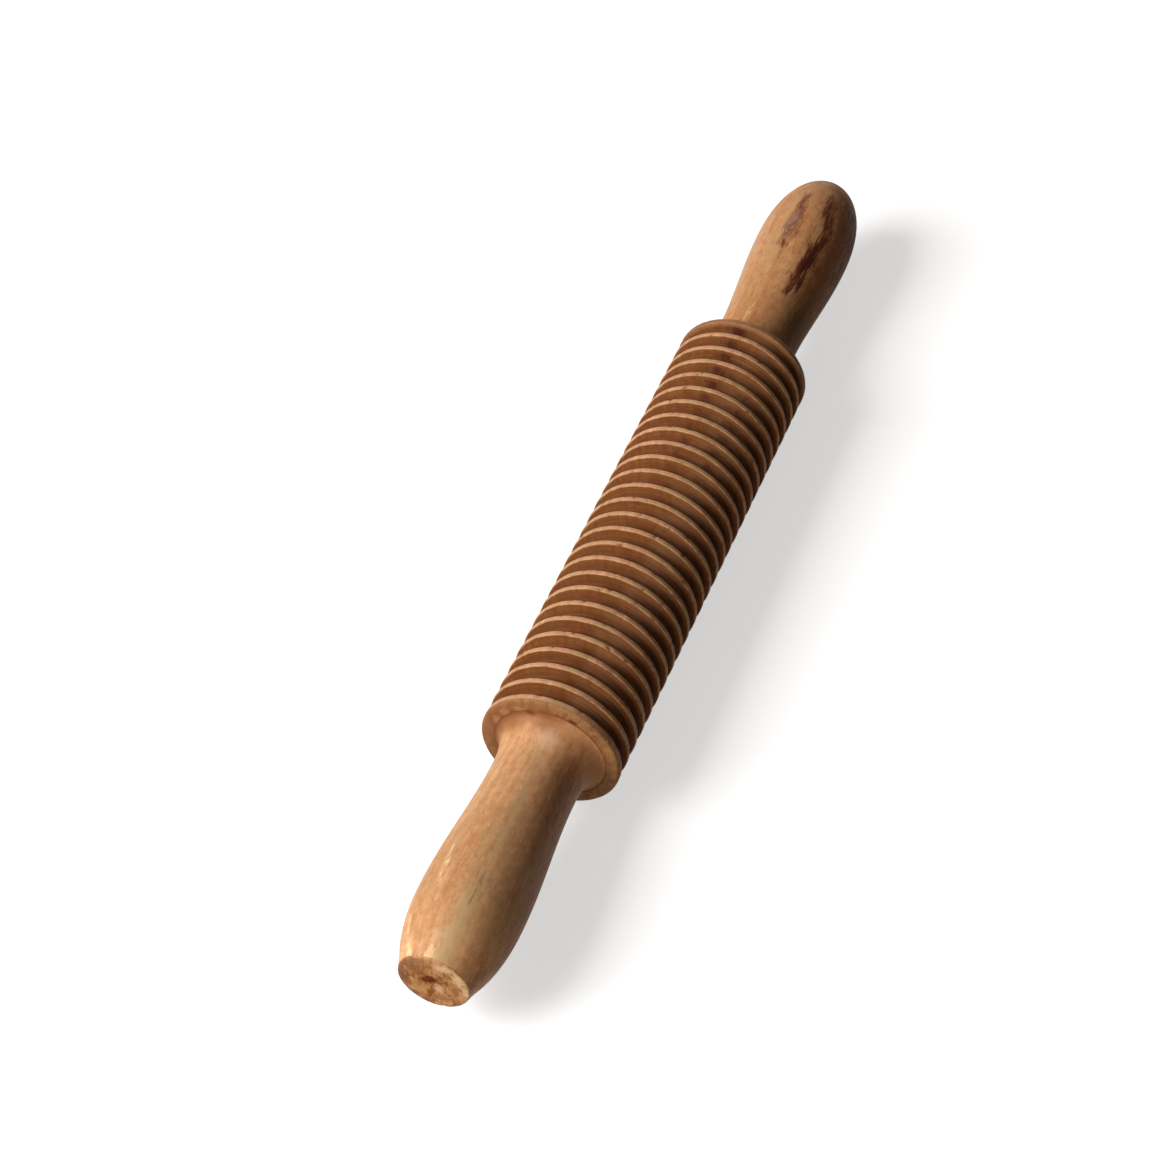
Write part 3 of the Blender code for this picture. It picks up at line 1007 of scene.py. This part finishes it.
def barrel_finish(groups):
    """Barrel wood: lands worn pale, and darker, redder flanks and grooves with tool marks."""
    material, network, shader = new_material("barrel_wood")
    place = place_on_axle(network)
    x, y, z = network.split(place)
    radius = network.off_axis(y, z)
    turn = network.math("ARCTAN2", y, z)
    uneven = network.uneven(place, 330.0, 3.0, 0.6)
    worn = network.use(
        groups["beech"], Place=place, Pale=(0.66, 0.375, 0.21), Deep=(0.46, 0.225, 0.105)
    )
    groove = groove_colour(network, groups, place, radius, turn)
    face = face_colour(network, groups, place, radius, turn, uneven)

    worn_to = network.times_plus(uneven, 0.0006, radius)
    below_land = network.ramp(worn_to, crest_radius - 0.00005, crest_radius - 0.00045)
    last_rib = (rib_count - 1) / 2 * rib_pitch
    end_face = network.ramp(network.math("ABSOLUTE", x), last_rib, last_rib + land_width / 3)
    in_groove = network.times(below_land, network.minus(1.0, end_face))
    left_rim = network.ramp(x, -last_rib - 0.4 * land_width, -last_rib - 0.75 * land_width)
    on_face = network.math("MAXIMUM", network.times(end_face, below_land), left_rim)
    past_last_rib = network.ramp(x, last_rib - land_width, last_rib - land_width / 3)
    on_rim = network.ramp(radius, crest_radius - 1.2 * right_rim_rounding, crest_radius - right_rim_rounding)
    right_rim = network.times(past_last_rib, on_rim)
    colour = network.mix(in_groove, network.mix(on_face, worn["Color"], face), groove)
    colour = network.mix(right_rim, colour, network.mix(0.35, groove, worn["Color"]))

    marks = network.use(groups["marks"], Place=place)["Height"]
    relief = network.minus(marks, network.times(worn["Pores"], 0.6))
    roughness = network.times_plus(in_groove, 0.14, 0.50)
    shine = wood_shine * 0.5
    finish_surface(
        network, shader, relief, 0.25, Base_Color=colour, Roughness=roughness, Specular_IOR_Level=shine
    )
    return material


def metal_finish(groups, name, colour, deep, roughness):
    """Turned bar: fine tool rings and slight unevenness in its colour and polish."""
    material, network, shader = new_material(name)
    place = place_on_axle(network)
    marks = network.use(groups["marks"], Place=place, Marks_per_metre=4500.0)["Height"]
    cloud = network.ramp(network.noise(place, 160.0, 3.0), 0.35, 0.70)
    tint = network.mix(cloud, colour, deep)
    polish = network.plus(network.times(cloud, 0.15), roughness)
    finish_surface(
        network, shader, marks, 0.2, 0.0001, Base_Color=tint, Metallic=1.0, Roughness=polish
    )
    return material


def nylon_finish():
    """Natural nylon, slightly yellowed, with the faint grain of its mould."""
    material, network, shader = new_material("nylon")
    place = place_on_axle(network)
    cloud = network.ramp(network.noise(place, 220.0, 3.0), 0.35, 0.70)
    tint = network.mix(cloud, (0.80, 0.78, 0.72), (0.70, 0.66, 0.56))
    grain = network.noise(place, 5000.0, 2.0)
    finish_surface(network, shader, grain, 0.1, 0.0001, Base_Color=tint, Roughness=0.4)
    return material


# Stage

def floor_outline():
    """The backdrop's half section: a flat floor that sweeps up into a low wall all round."""
    points = [(floor_radius, 0.0)]
    for i in range(1, sweep_steps + 1):
        angle = sweep_angle * i / sweep_steps
        points.append((floor_radius + sweep_radius * math.sin(angle), sweep_radius * (1 - math.cos(angle))))
    return points


def build_floor():
    """A plain pale floor: white to the eye, but dull to the light that it would throw back up.

    It glows a little less near the pin, so that the pin's shadow shows there, and is plain white far off.
    """
    vertices, faces = [], []
    rings = floor_outline()
    for radius, height in rings:
        for i in range(backdrop_facets):
            angle = 2 * math.pi * i / backdrop_facets
            vertices.append((radius * math.cos(angle), radius * math.sin(angle), height))
    faces.append(tuple(range(backdrop_facets)))
    for ring in range(len(rings) - 1):
        first = ring * backdrop_facets
        for i in range(backdrop_facets):
            ahead = (i + 1) % backdrop_facets
            above = first + backdrop_facets
            faces.append((first + i, above + i, above + ahead, first + ahead))
    mesh = bpy.data.meshes.new("floor")
    mesh.from_pydata(vertices, [], faces)
    mesh.shade_smooth()
    floor = placed("floor", mesh)
    material, network, shader = new_material("floor")
    place = network.node("ShaderNodeTexCoord").outputs["Object"]
    far_off = network.ramp(network.vector_math("LENGTH", place), shadow_reach, white_beyond)
    glow = network.mix(far_off, (0.60, 0.60, 0.60), (1.0, 1.0, 1.0))
    network.feed(shader.inputs, {"Base Color": (0.65, 0.65, 0.65), "Roughness": 0.9})
    network.feed(shader.inputs, {"Emission Color": glow, "Emission Strength": 1.0})
    dull = network.node("ShaderNodeBsdfDiffuse", {"Color": (0.08, 0.07, 0.06)})
    light_path = network.node("ShaderNodeLightPath").outputs
    seen = network.math("MAXIMUM", light_path["Is Camera Ray"], light_path["Is Glossy Ray"])
    seen = network.math("MAXIMUM", seen, light_path["Is Transmission Ray"])
    mixed = network.node("ShaderNodeMixShader", {0: seen, 1: dull.outputs[0], 2: shader.outputs[0]})
    output = material.node_tree.nodes["Material Output"]
    network.tree.links.new(mixed.outputs[0], output.inputs["Surface"])
    mesh.materials.append(material)


def add_lamp(name, angle, lean, distance, length, width, power, tint):
    """A soft rectangular lamp that faces the middle of the pin, with its length mostly along the pin."""
    light = bpy.data.lights.new(name, "AREA")
    light.shape = "RECTANGLE"
    light.size = length
    light.size_y = width
    light.energy = power
    light.color = tint
    lamp = placed(name, light)
    angle, lean = math.radians(angle), math.radians(lean)
    outward = Vector((0.0, math.sin(angle), math.cos(angle)))
    toward = outward * math.cos(lean) - Vector((math.sin(lean), 0.0, 0.0))
    along = outward * math.sin(lean) + Vector((math.cos(lean), 0.0, 0.0))
    lamp.location = Vector((0.0, 0.0, axle_height)) + toward * distance
    lamp.rotation_mode = "QUATERNION"
    lamp.rotation_quaternion = turned_to(along, toward)


def build_lights():
    """A broad soft lamp on the pin's left, two weak ones low beyond its ends and a faint warm room."""
    add_lamp("window", *window)
    add_lamp("doorway", *doorway)
    add_lamp("far_corner", *far_corner)
    world = bpy.data.worlds.new("room")
    world.use_nodes = True
    background = world.node_tree.nodes["Background"]
    background.inputs["Color"].default_value = room_tint
    background.inputs["Strength"].default_value = room_light
    bpy.context.scene.world = world


def turned_to(right, back):
    """The rotation that takes X to the right and Z straight back."""
    back = back.normalized()
    up = back.cross(right).normalized()
    return Matrix((up.cross(back), up, back)).transposed().to_quaternion()


def build_camera():
    """The camera where the photograph's stood, seen from the axle's middle."""
    data = bpy.data.cameras.new("camera")
    data.sensor_width = sensor_width
    data.lens = focal_length
    camera = placed("camera", data)
    camera.location = camera_from_axle + Vector((0.0, 0.0, axle_height))
    camera.rotation_mode = "QUATERNION"
    camera.rotation_quaternion = turned_to(camera_right, -camera_direction)
    bpy.context.scene.camera = camera


# Pieces

def build_barrel(groups, lathe):
    """The barrel in place of its solid, with its ribs set out between its two ends."""
    rib = drawn("rib_outline", rib_outline(), closed=False)
    ends = barrel_end_outline(right_rim_rounding) + mirrored(barrel_end_outline(left_rim_rounding))
    section = drawn("barrel_section", ends, closed=False)
    add_nodes(section, ribs_tree(), Rib=rib, Rib_count=rib_count - 2, Rib_pitch=rib_pitch)
    add_nodes(
        section,
        lathe,
        Facets=barrel_facets,
        Axle_height=axle_height,
        Out_of_round=barrel_out_of_round,
        Round_up_to_radius=shoulder_radius + shoulder_ring_gap,
        Nick_depth=rib_nick_depth,
        Nick_size=rib_nick_size,
        Nicks_above_radius=crest_radius - rib_nick_reach,
        Worn_edge_place=barrel_end,
        Worn_edge_radius=crest_radius,
        Seed=3.0,
        Finish=barrel_finish(groups),
    )
    barrel = baked(section, "barrel_with_ribs")
    bpy.data.objects.remove(rib)
    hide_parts("ribbed_barrel")
    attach(barrel, "barrel")


def build_handles(groups, lathe):
    """Both handles and the plug in the left one's end, each in place of its solid.

    The left handle and the plug share a seed, so that the saw's roughness runs on across both.
    """
    plug_wear = {"Rough_beyond": left_handle_end - saw_reach, "Rough_depth": saw_roughness}
    left_wear = {
        "Nick_depth": end_nick_depth,
        "Nick_size": end_nick_size,
        "Worn_edge_place": left_handle_end,
        "Worn_edge_radius": left_end_radius,
        "Worn_edge_reach": end_nick_reach,
        **plug_wear,
    }
    left_outline = mirrored(left_handle_outline())
    right_wood = right_handle_finish(groups)
    left_wood = left_handle_finish(groups)
    plug_wood = plug_finish(groups)
    handles = (
        ("left_grip", left_outline, left_wood, "left_handle", "handle_wood", 5.0, left_wear),
        ("right_grip", right_handle_outline(), right_wood, "right_handle", "handle_wood", 8.0, {}),
        ("turned_plug", mirrored(plug_outline()), plug_wood, "end_plug", "plug_wood", 5.0, plug_wear),
    )
    for name, outline, finish, node, slot, seed, wear in handles:
        piece = turned(
            name,
            outline,
            lathe,
            Facets=handle_facets,
            Axle_height=axle_height,
            Out_of_round=handle_out_of_round,
            Seed=seed,
            Finish=finish,
            **wear,
        )
        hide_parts(node)
        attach(piece, "handles")


def dress_fittings(groups):
    """Better finishes for the fittings inside, whose solids stay as they are."""
    steel = metal_finish(groups, "steel", (0.62, 0.62, 0.63), (0.50, 0.50, 0.52), 0.28)
    brass = metal_finish(groups, "brass", (0.76, 0.56, 0.26), (0.62, 0.42, 0.18), 0.32)
    nylon = nylon_finish()
    finishes = {
        nylon: ("left_bush", "right_bush"),
        brass: ("threaded_insert",),
        steel: ("axle_rod", "left_thrust_washer", "right_thrust_washer", "nut_washer", "axle_nut"),
    }
    for finish, nodes in finishes.items():
        for node in nodes:
            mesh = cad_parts[node].data
            mesh.materials.clear()
            mesh.materials.append(finish)


# The whole scene

build_camera()
build_lights()
build_floor()
groups = {
    "beech": beech_group(),
    "end_grain": end_grain_group(),
    "streak": streak_group(),
    "spot": spot_group(),
    "crease_shade": crease_shade_group(),
    "marks": lathe_marks_group(),
}
lathe = lathe_tree()
build_barrel(groups, lathe)
build_handles(groups, lathe)
dress_fittings(groups)

scene = bpy.context.scene
scene.view_settings.view_transform = "Standard"
